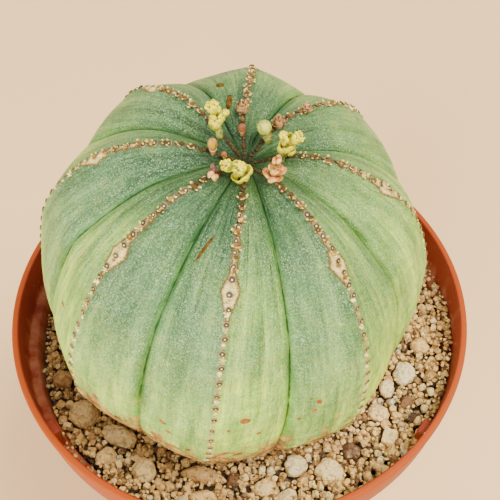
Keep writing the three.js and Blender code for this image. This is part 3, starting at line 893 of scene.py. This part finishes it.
bm = cad_copy("grit_bed")
upper_edges = [edge for edge in bm.edges if edge.verts[0].co.z > SIDE_FROM * MM]
long_edges = [edge for edge in upper_edges if edge.calc_length() > 2.5 * MM]
bmesh.ops.subdivide_edges(bm, edges=long_edges, cuts=2)
bmesh.ops.triangulate(bm, faces=bm.faces)
for corner in bm.verts:
    if corner.co.z > TOP_FROM * MM and hypot(corner.co.x, corner.co.y) < TOP_REACH * MM:
        corner.co.z += 0.0006 * noise.noise(corner.co * 420) - 0.0004
add_piece("grit_mass", bm, [gap_shade_finish()], "grit", "grit_bed")


def grain_finish():
    paint = Finish("pumice_grit", 0.85)
    color = paint.ramp(
        paint.read("tone"),
        (0.0, 0.06, 0.028, 0.014),
        (0.1, 0.2, 0.085, 0.03),
        (0.26, 0.52, 0.28, 0.08),
        (0.5, 0.85, 0.53, 0.16),
        (0.75, 0.95, 0.7, 0.27),
        (0.9, 0.85, 0.72, 0.38),
        (1.0, 0.62, 0.56, 0.36),
    )
    mottle = paint.noise(700, 5, roughness=0.65)
    color = paint.lay(color, mottle, (0.5, 0.68, 0, 0.6), tint(0.24, 0.12, 0.035))
    color = paint.lay(color, mottle, (0.48, 0.3, 0, 0.5), tint(0.95, 0.76, 0.34))
    pores = paint.span(paint.cells(1700), 0.0, 0.3, 0.65, 0)
    color = paint.blend(pores, color, tint(0.12, 0.08, 0.04))
    relief = paint.bump(paint.noise(1500, 4, roughness=0.6), 0.0004)
    relief = paint.bump(paint.span(paint.cells(1100), 0.0, 0.4), 0.0003, relief)
    return paint.done(color, relief)


grain = grain_finish()


def box_of(node):
    return [Vector(corner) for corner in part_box(node)]


# Larger stones, half sunk in the grit: rough, pitted and with worn flats.
STONE_TONES = [0.3, 0.62, 0.72, 0.6, 0.7, 0.42, 0.5, 0.66, 0.86, 0.78, 0.06, 0.7, 0.8, 0.86]
STONE_TONES += [0.5, 0.6, 0.72, 0.9, 0.45]
WORN_FLATS = 7
stone_corners = []
stone_names = sorted(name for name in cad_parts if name.startswith("pumice_stone"))
for name, tone in zip(stone_names, STONE_TONES):
    bm = cad_copy(name)
    bmesh.ops.subdivide_edges(bm, edges=bm.edges, cuts=3, smooth=1.0, use_grid_fill=True)
    bmesh.ops.triangulate(bm, faces=bm.faces)
    bm.normal_update()
    layer = bm.verts.layers.float.new("tone")
    low, high = box_of(name)
    middle, half = (low + high) / 2, (high - low) / 2
    for _ in range(WORN_FLATS):
        flat = Vector([random.gauss(0, spread) for spread in (1, 1, 0.8)]).normalized()
        reach = sqrt(sum((part * size) ** 2 for part, size in zip(flat, half)))
        reach *= random.uniform(0.78, 0.92)
        for corner in bm.verts:
            beyond = (corner.co - middle).dot(flat) - reach
            if beyond > 0:
                corner.co -= flat * beyond * 0.9
    bm.normal_update()
    for corner in bm.verts:
        broad = noise.noise(corner.co * 420) * 0.45
        knob = abs(noise.noise(corner.co * 900)) * -0.4
        pit = min(noise.noise(corner.co * 2300) + 0.15, 0) * 0.6
        corner.co += corner.normal * (broad + knob + pit + 0.2) * MM
        corner[layer] = tone
        stone_corners.append(corner.co / MM)
    add_piece(f"{name}_rough", bm, [grain], "pumice", name, sharp=50)

# Loose grains settle one by one into the lowest of a few places, on a map of the surface.
CELL = 0.35
MAP_HALF = 44.0
GRAINS_FROM, GRAINS_TO = 23.5, 43.2
FINE_AZIMUTH = 55  # the finest grains gather on this side
LOOSE_DEPTH = 1.2
BANK_HEIGHT, BANK_AZIMUTH = 2.0, 12
BANK_FROM, BANK_WIDTH = 36.5, 5
DARK_SHARE = 0.07
cells = int(2 * MAP_HALF / CELL)
axis = (np.arange(cells) + 0.5) * CELL - MAP_HALF
surface = np.array([[grit_level(x, y) - 1.3 for x in axis] for y in axis])
surface[np.hypot(axis, axis[:, None]) > LEDGE_INNER - 0.1] = LEDGE_HEIGHT - 0.1


def heap(x, y):
    """Height in millimetres that the loose grains may reach: most against the front wall."""
    banked = max(cos(atan2(x, -y) - radians(BANK_AZIMUTH)), 0) ** 0.7
    edge = min(max((hypot(x, y) - BANK_FROM) / BANK_WIDTH, 0), 1)
    return grit_level(x, y) + LOOSE_DEPTH + BANK_HEIGHT * edge * banked


for corner in stone_corners:
    column, row = int((corner.x + MAP_HALF) / CELL), int((corner.y + MAP_HALF) / CELL)
    surface[row, column] = max(surface[row, column], corner.z)


def inside_plant(x, y, z):
    """True where a point in millimetres is in the plant's body or just under its skin."""
    height = z - BODY_Z
    across, along = x - BODY_X - LEAN_RIGHT * height, y - BODY_Y + LEAN_FRONT * height
    height += LEAN_RIGHT * across - LEAN_FRONT * along
    away = hypot(x - BODY_X - LEAN_RIGHT * height, y - BODY_Y + LEAN_FRONT * height)
    lower = line_height < 0
    reach = np.interp(-height, -line_height[lower], line_radius[lower])
    return away < reach * 0.975


def wall_reach(z):
    """Inner radius of the pot in millimetres at a height."""
    if z > LEDGE_HEIGHT:
        return COLLAR_INNER
    share = (z - FLOOR_TOP) / (LEDGE_HEIGHT - 0.5 - FLOOR_TOP)
    return FLOOR_INNER + (LEDGE_INNER - FLOOR_INNER) * share


def grain_stamp(seed, coarse):
    """A unit grain: coarse ones are chipped blocks, fine ones chipped balls."""
    rng = random.Random(seed)
    bm = bmesh.new()
    if coarse:
        bmesh.ops.create_cube(bm, size=1.5)
        bmesh.ops.subdivide_edges(bm, edges=bm.edges, cuts=1, use_grid_fill=True)
        for corner in bm.verts:
            corner.co = corner.co.lerp(corner.co.normalized(), 0.6) * rng.uniform(0.8, 1.15)
    else:
        bmesh.ops.create_icosphere(bm, subdivisions=1, radius=1)
        for corner in bm.verts:
            corner.co *= rng.uniform(0.78, 1.15)
    return as_mesh("grain_stamp", bm)


def settle(rng, radius, tries, gather):
    """Finds the lowest of a few random places for a grain, in millimetres, and fills it in."""
    best = None
    for _ in range(tries):
        azimuth = rng.uniform(0, 2 * pi)
        if rng.random() < gather * (0.5 - 0.5 * cos(azimuth - radians(FINE_AZIMUTH))):
            continue
        away = sqrt(rng.uniform(GRAINS_FROM**2, GRAINS_TO**2))
        x, y = away * sin(azimuth), -away * cos(azimuth)
        column, row = int((x + MAP_HALF) / CELL), int((y + MAP_HALF) / CELL)
        z = surface[row, column]
        if away + radius * 0.7 > wall_reach(z + radius * 0.4) or inside_plant(x, y, z + radius * 0.3):
            continue
        spread = max(int(radius * 0.5 / CELL), 1)
        z = surface[row - spread : row + spread + 1, column - spread : column + spread + 1].max()
        if best is None or z - heap(x, y) < best[2] - heap(best[0], best[1]):
            best = (x, y, z, row, column)
    if best is None:
        return None
    x, y, z, row, column = best
    if z + radius > heap(x, y) + 0.7:
        return None
    spread = int(radius / CELL) + 1
    rows, columns = np.ogrid[-spread : spread + 1, -spread : spread + 1]
    dome = radius**2 - (rows**2 + columns**2) * CELL**2
    centre = z + radius * 0.45
    cap = np.where(dome > 0, centre + np.sqrt(np.maximum(dome, 0)) * 0.8, -1e3)
    window = surface[row - spread : row + spread + 1, column - spread : column + spread + 1]
    np.maximum(window, cap, out=window)
    return Vector((x, y, centre))


def pour(seed, count, smallest, largest, power, tries, coarse, gather):
    """Pours grains: their places, sizes, turns and tones. A high power makes most of them small,
    and gather keeps them to the side where the fine ones lie."""
    rng = random.Random(seed)
    stamps = [grain_stamp(seed + i, coarse) for i in range(12)]
    items = []
    for i in range(count):
        radius = smallest + (largest - smallest) * rng.random() ** power
        spot = settle(rng, radius, tries, gather)
        if not spot:
            continue
        turn = Quaternion([rng.gauss(0, 1) for _ in range(4)]).normalized()
        size = [radius * rng.uniform(*limits) for limits in ((0.85, 1.25), (0.8, 1.05), (0.7, 0.95))]
        scale = Matrix.Diagonal((*(value * MM for value in size), 1))
        tone = min(max(rng.gauss(0.52, 0.2), 0.0), 1.0)
        if rng.random() < DARK_SHARE:
            tone = rng.uniform(0, 0.15)
        matrix = Matrix.Translation(spot * MM) @ turn.to_matrix().to_4x4() @ scale
        items.append((stamps[i % len(stamps)], matrix, tone))
    return items


for name, batch in (
    ("coarse_grit", pour(11, 300, 1.1, 2.0, 1.8, 5, True, 0.0)),
    ("middle_grit", pour(12, 3000, 0.5, 1.0, 1.5, 6, True, 0.3)),
    ("fine_grit", pour(13, 8000, 0.26, 0.5, 1.2, 6, False, 0.75)),
):
    bm = bmesh.new()
    scatter(bm, "tone", batch)
    add_piece(name, bm, [grain], "grit", sharp=45)


# ---- Flowers ---------------------------------------------------------------------------------
# Small cups on short stalks near the apex. Each has round fleshy scale leaves outside, five
# glands round its lip and a crown of yellow stamens. One is older and has turned pink.

GLANDS = 5
STAMENS = 16

def middle_of(node):
    low, high = box_of(node)
    return (low + high) / 2


def petal_finish(name, rust_share, pale, deep, rust, edge=None):
    """A fleshy skin mottled from deep to pale, with rusty flecks, and an edge colour on leaves."""
    pale, deep, rust, edge = (tint(*color) for color in (pale, deep, rust, edge or rust))
    paint = Finish(name, 0.45, Subsurface_Weight=0.1, Specular_IOR_Level=0.3)
    paint.shader.inputs["Subsurface Scale"].default_value = 0.0006
    mottle = paint.noise(900, 4)
    color = paint.blend(paint.span(mottle, 0.34, 0.54), deep, pale)
    veins = paint.span(paint.noise(1900, 3), 0.55, 0.66, 0, rust_share)
    color = paint.blend(veins, color, rust)
    color = paint.blend(paint.span(paint.read("rim"), 0.72, 1.0, 0, 0.85), color, edge)
    return paint.done(color, paint.bump(paint.noise(2400, 3), 0.00008))


fresh_scale = petal_finish(
    "fresh_scale", 0.45, (0.7, 0.64, 0.008), (0.17, 0.21, 0.003), (0.26, 0.12, 0.012), (0.85, 0.66, 0.003)
)
pollen = petal_finish("stamen_yellow", 0.5, (1.0, 0.86, 0.002), (0.62, 0.48, 0.002), (0.45, 0.15, 0.008))
stalk_green = petal_finish("stalk_green", 0.6, (0.4, 0.44, 0.08), (0.1, 0.16, 0.015), (0.18, 0.07, 0.02))
aged_scale = petal_finish(
    "aged_scale", 0.7, (1.0, 0.64, 0.17), (0.5, 0.16, 0.03), (0.34, 0.045, 0.015), (0.42, 0.075, 0.02)
)
aged_heart = petal_finish("aged_heart", 0.5, (0.55, 0.28, 0.04), (0.3, 0.1, 0.02), (0.12, 0.035, 0.015))
dry_scale = petal_finish(
    "dry_scale", 0.6, (0.24, 0.11, 0.08), (0.07, 0.026, 0.026), (0.025, 0.01, 0.012), (0.3, 0.14, 0.09)
)
dry_crust = petal_finish(
    "dry_crust", 0.85, (0.5, 0.26, 0.08), (0.065, 0.026, 0.014), (0.022, 0.012, 0.008), (0.75, 0.45, 0.16)
)
green_bud = petal_finish("green_bud", 0.7, (0.58, 0.55, 0.08), (0.2, 0.24, 0.02), (0.2, 0.09, 0.02))
tan_bud = petal_finish("tan_bud", 0.5, (0.52, 0.27, 0.025), (0.32, 0.14, 0.012), (0.17, 0.05, 0.01))
rust_bud = petal_finish("rust_bud", 0.5, (0.36, 0.12, 0.025), (0.22, 0.05, 0.012), (0.1, 0.025, 0.01))


def scale_leaf(bm, width, height, thickness, matrix, cupping=0.5):
    """One fleshy scale leaf, hollow towards its stalk, standing on its narrow foot."""
    rim = bm.verts.layers.float.get("rim") or bm.verts.layers.float.new("rim")
    leaf = bmesh.ops.create_uvsphere(bm, u_segments=16, v_segments=10, radius=1)["verts"]
    for corner in leaf:
        x, y, z = corner.co
        corner[rim] = hypot(x, z)
        narrow = 1 - 0.3 * max(-z, 0) ** 1.5
        hug = cupping * (x * x + 0.6 * max(z, 0) ** 2)
        wave = 0.05 * sin(7 * x + 4 * z)
        depth = y * thickness + (hug + wave) * width
        corner.co = Vector((x * narrow * width, depth, z * height)) * MM / 2
    bmesh.ops.transform(bm, matrix=matrix, verts=leaf)


def ball(bm, size, matrix, segments=10):
    """A small rounded lump, sized in millimetres."""
    rings = segments - 3
    lump = bmesh.ops.create_uvsphere(bm, u_segments=segments, v_segments=rings, radius=0.5)["verts"]
    bmesh.ops.scale(bm, vec=[value * MM for value in size], verts=lump)
    bmesh.ops.transform(bm, matrix=matrix, verts=lump)
    return lump


def tipped(azimuth, away, lift, lean):
    """Places a shape away from the flower's axis, turned to face out and leaned outwards."""
    turn = Matrix.Rotation(azimuth, 4, "Z")
    return turn @ Matrix.Translation((0, -away * MM, lift * MM)) @ Matrix.Rotation(lean, 4, "X")


def lathe_on(bm, outline, steps, matrix):
    """Turns an outline in a mesh of its own and adds it at a matrix."""
    part = bmesh.new()
    turned(part, outline, steps)
    bmesh.ops.transform(part, matrix=matrix, verts=part.verts)
    join_in(bm, part)


def flower_frame(stalk_node, tip_node, stalk):
    """Matrix from a flower's own frame, +Z along its stalk from its foot, to its place."""
    axis = (middle_of(tip_node) - middle_of(stalk_node)).normalized()
    foot = middle_of(stalk_node) - axis * stalk / 2 * MM
    turn = Vector((0, 0, 1)).rotation_difference(axis)
    return Matrix.Translation(foot) @ turn.to_matrix().to_4x4()


def grow_flower(name, seed, stalk, whorls, crowns, finishes):
    """A flower. Each whorl is (leaves, azimuth, away, lift, size, lean), and each crown is
    (azimuth, away, lift, radius, lean), in millimetres and degrees from the flower's foot."""
    rng = random.Random(seed)
    scale_finish, heart_finish, stalk_finish = finishes
    slots = ("flower_bract", "stamens", "flower_stalk")
    if scale_finish is aged_scale:
        slots = ("aged_flower", "dried_flower", "aged_flower")
    where = flower_frame(f"{name}_stalk", f"{name}_stamens", stalk)

    bm = bmesh.new()
    bottom = [(0, -0.9), (0.55, -0.8), (0.6, -0.2), (0.4, stalk * 0.45), (0.5, stalk * 0.85)]
    lathe_on(bm, bottom + [(0.66, stalk + 0.4), (0, stalk + 0.45)], 14, where)
    for i in range(3):
        scale_leaf(bm, 0.7, 0.8, 0.3, where @ tipped(i * 2.1 + seed, 0.5, 0.25 + 0.3 * i, 0.35))
    add_piece(f"{name}_stem", bm, [stalk_finish], slots[2], f"{name}_stalk")

    cups, hearts = bmesh.new(), bmesh.new()
    for azimuth, away, lift, radius, lean in crowns:
        place = where @ tipped(radians(azimuth), away, lift, radians(lean))
        outline = [(0, 0), (0.45, 0.05), (0.86, 0.6), (0.96, 1.15)]
        outline += [(0.8, 1.45), (0.6, 1.3), (0.3, 0.95), (0, 0.9)]
        scaled = [(out * radius, rise * radius) for out, rise in outline]
        lathe_on(cups, eased(scaled, 0.18, 2), 20, place)
        for i in range(GLANDS):
            turn = i * 2 * pi / GLANDS + rng.uniform(-0.2, 0.2)
            gland = place @ tipped(turn, 0.8 * radius, 1.42 * radius, 0.6)
            ball(hearts, (0.8 * radius, 0.55 * radius, 0.42 * radius), gland)
        for i in range(STAMENS):
            out = radius * 0.7 * sqrt(i / STAMENS)
            length = radius * rng.uniform(0.6, 1.1)
            thread = place @ tipped(i * 2.4, out, 0.95 * radius + length / 2, rng.uniform(0.2, 0.5) * out)
            ball(hearts, (0.15, 0.15, length), thread, 6)
            for offset in (-0.12, 0.12):
                head = thread @ Matrix.Translation((offset * MM, 0, length / 2 * MM))
                ball(hearts, (0.32, 0.28, 0.26), head, 7)
    add_piece(f"{name}_cups", cups, [scale_finish], slots[0], f"{name}_cup")
    add_piece(f"{name}_crown", hearts, [heart_finish], slots[1], f"{name}_stamens")

    bm = bmesh.new()
    for count, azimuth, away, lift, size, lean in whorls:
        for i in range(count):
            turn = radians(azimuth + i * 360 / count) + rng.uniform(-0.35, 0.35)
            width, height = size * rng.uniform(0.88, 1.18), size * rng.uniform(0.9, 1.15)
            out, rise = away * rng.uniform(0.85, 1.12), lift + rng.uniform(-0.35, 0.35)
            thickness = size * rng.uniform(0.28, 0.42)
            scale_leaf(bm, width, height, thickness, where @ tipped(turn, out, rise, radians(lean)))
    nodes = [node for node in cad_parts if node.startswith(f"{name}_bract")]
    add_piece(f"{name}_leaves", bm, [scale_finish], slots[0], *nodes)


fresh = (fresh_scale, pollen, stalk_green)
grow_flower(
    "flower_back_left",
    1,
    2.4,
    [
        (1, -55, 1.25, 1.7, 2.0, 30),
        (5, 10, 1.1, 2.2, 1.35, 24),
        (4, 60, 1.0, 3.3, 1.25, 15),
        (4, 75, 0.8, 4.4, 1.0, 8),
    ],
    [(-60, 0.3, 3.6, 1.1, 10), (95, 1.0, 2.7, 0.6, 30)],
    fresh,
)
grow_flower(
    "flower_front",
    2,
    1.2,
    [(7, 20, 1.5, 0.7, 1.5, 42), (6, 70, 1.0, 2.0, 1.25, 18), (4, 100, 0.7, 3.0, 1.1, 8)],
    [(-80, 0.9, 2.4, 1.0, 22), (60, 0.6, 1.5, 0.7, 10)],
    fresh,
)
grow_flower(
    "flower_right",
    3,
    1.6,
    [(6, -20, 1.15, 1.9, 1.45, 28), (4, 200, 1.0, 3.0, 1.3, 15), (3, -60, 0.8, 3.9, 1.1, 5)],
    [(70, 0.6, 3.6, 0.95, 18), (-110, 0.8, 3.0, 0.7, 20)],
    fresh,
)
grow_flower(
    "flower_aged",
    4,
    1.1,
    [
        (6, 0, 1.2, 0.9, 1.5, 38),
        (1, 65, 1.3, 1.9, 1.6, 30),
        (5, 45, 0.9, 2.4, 1.3, 14),
        (3, 150, 0.5, 3.7, 1.2, 5),
    ],
    [(0, 0.3, 1.6, 0.8, 8)],
    (aged_scale, aged_heart, aged_scale),
)


# ---- Buds ------------------------------------------------------------------------------------
# Closed round buds on very short stalks, wrapped in overlapping fleshy scales. One is green, one
# is tan and two have dried to a rusty red.

for name, finish, slot, stalk, stem in (
    ("bud_green", green_bud, "bud_green", 1.0, stalk_green),
    ("bud_tan", tan_bud, "bud_orange", 0.5, dry_crust),
    ("bud_orange", rust_bud, "bud_orange", 0.4, dry_crust),
    ("bud_red", rust_bud, "bud_orange", 0.3, dry_crust),
):
    low, high = box_of(f"{name}_head")
    width, height = (high.x - low.x) / MM, (high.z - low.z) / MM
    where = flower_frame(f"{name}_stalk", f"{name}_head", stalk)
    bm = bmesh.new()
    girth = width * 0.3
    lathe_on(bm, [(0, -0.8), (girth, -0.7), (girth * 0.8, 0.1), (girth, 0.5), (0, 0.6)], 12, where)
    for i in range(3):
        scale_leaf(bm, width * 0.55, width * 0.5, 0.3, where @ tipped(i * 2.1, girth, 0.2, 0.5))
    add_piece(f"{name}_stem", bm, [stem], "flower_stalk", f"{name}_stalk")

    bm = bmesh.new()
    head_low = (middle_of(f"{name}_head") - where.translation).length / MM - height / 2 - 0.15
    outline = [(0, 0), (0.3, 0.02), (0.47, 0.22), (0.5, 0.5), (0.42, 0.78), (0.2, 0.97), (0, 0.95)]
    scaled = [(radius * width, head_low + rise * height) for radius, rise in outline]
    lathe_on(bm, eased(scaled, 0.3 * width, 3), 24, where)
    for i in range(5):
        wrap = where @ tipped(i * 1.257, width * 0.2, head_low + height * 0.9, -0.9)
        scale_leaf(bm, width * 0.42, width * 0.5, 0.2, wrap, 0.2)
    for i in range(3):
        wrap = where @ tipped(i * 2.1 + 0.5, width * 0.42, head_low + height * 0.3, 0.15)
        scale_leaf(bm, width * 0.62, width * 0.66, 0.3, wrap)
    add_piece(f"{name}_cover", bm, [finish], slot, f"{name}_head")


# ---- Dried flowers ---------------------------------------------------------------------------
# Withered cups and seed heads left on the crests, shrivelled to papery crusts of curled lobes.
# The latest to wither still has a pink leaf below it.

HEADS = ("withered_flower_head", "dry_head_back", "dry_head_right", "dry_head_far_right")
for seed, name in enumerate(HEADS, 1):
    rng = random.Random(seed)
    low, high = box_of(name)
    size = high - low
    foot = Vector((middle_of(name).x, middle_of(name).y, low.z - 0.4 * MM))
    bm = bmesh.new()
    where = Matrix.Translation(foot)
    dried = name != "withered_flower_head"
    grown = 1.35 if dried else 1.0
    spread, rise = size.x / MM * grown, size.z / MM * grown
    outline = [(0.3, 0), (0.36, 0.4), (0.2, 0.6), (0, 0.45)]
    cup = [(0, -0.2)] + [(radius * spread, height * rise) for radius, height in outline]
    lathe_on(bm, cup, 10, where)
    for layer, count in ((0, 7), (1, 6), (2, 4)):
        for i in range(count):
            away = spread * (0.36 - 0.09 * layer) * rng.uniform(0.8, 1.1)
            lean = rng.uniform(0.4, 1.0) - 0.35 * layer
            lift = 0.35 + rise * 0.24 * layer
            petal = where @ tipped(i * 2 * pi / count + rng.uniform(-0.3, 0.3), away, lift, lean)
            scale_leaf(bm, spread * rng.uniform(0.14, 0.3), rise * rng.uniform(0.4, 0.7), 0.14, petal, 0.8)
    for corner in bm.verts:
        corner.co += noise.noise_vector(corner.co * 1800) * 0.00012
    add_piece(f"{name}_crust", bm, [dry_crust if dried else dry_scale], "dried_flower", name)

bm = bmesh.new()
where = Matrix.Translation(middle_of("withered_flower_bract"))
scale_leaf(bm, 1.2, 1.9, 0.45, where @ Matrix.Rotation(0.2, 4, "X"))
beside = where @ Matrix.Translation((-0.0006, 0.0004, 0.0003))
scale_leaf(bm, 1.0, 1.5, 0.5, beside @ Matrix.Rotation(0.5, 4, "Y"))
add_piece("withered_flower_leaf", bm, [aged_scale], "aged_flower", "withered_flower_bract")


# ---- Floor, light and camera -----------------------------------------------------------------
# A plain pale table top under soft daylight from the upper right and a wide soft light on the
# left, seen from above the front.

CAMERA_PLACE = (0.00205, -0.0858, RIM_HEIGHT * MM + 0.1305)
CAMERA_DOWN = 53.12  # degrees under the horizon
CAMERA_LENS, CAMERA_SENSOR = 56, 36
LIT_POINT = Vector((0, 0, 0.09))


def table_finish():
    paint = Finish("table_top", 0.6)
    return paint.done(paint.blend(paint.noise(6, 2), tint(0.9, 0.56, 0.24), tint(0.95, 0.6, 0.27)))


bm = bmesh.new()
bmesh.ops.create_grid(bm, x_segments=1, y_segments=1, size=3)
floor = new_object("floor", as_mesh("floor", bm))
floor.data.materials.append(table_finish())


def soft_light(name, place, size, power, color):
    """A square soft light aimed at the plant."""
    data = bpy.data.lights.new(name, "AREA")
    data.size = size
    data.energy = power
    data.color = color
    lamp = new_object(name, data)
    lamp.location = place
    lamp.rotation_euler = (LIT_POINT - Vector(place)).to_track_quat("-Z", "Y").to_euler()


soft_light("window", (0.4, -0.05, 0.8), 0.5, 11.0, (1.0, 0.97, 0.92))
soft_light("room", (-0.45, -0.8, 0.38), 0.7, 17.0, (0.99, 0.99, 1.0))

world = bpy.data.worlds.new("sky")
world.use_nodes = True
sky = world.node_tree.nodes["Background"].inputs
sky["Color"].default_value = (0.97, 0.98, 1.0, 1)
sky["Strength"].default_value = 1.15
bpy.context.scene.world = world

camera_data = bpy.data.cameras.new("camera")
camera_data.lens = CAMERA_LENS
camera_data.sensor_width = CAMERA_SENSOR
camera_data.clip_start = 0.01
camera = new_object("camera", camera_data)
camera.location = CAMERA_PLACE
camera.rotation_euler = (radians(90 - CAMERA_DOWN), 0, 0)
bpy.context.scene.camera = camera
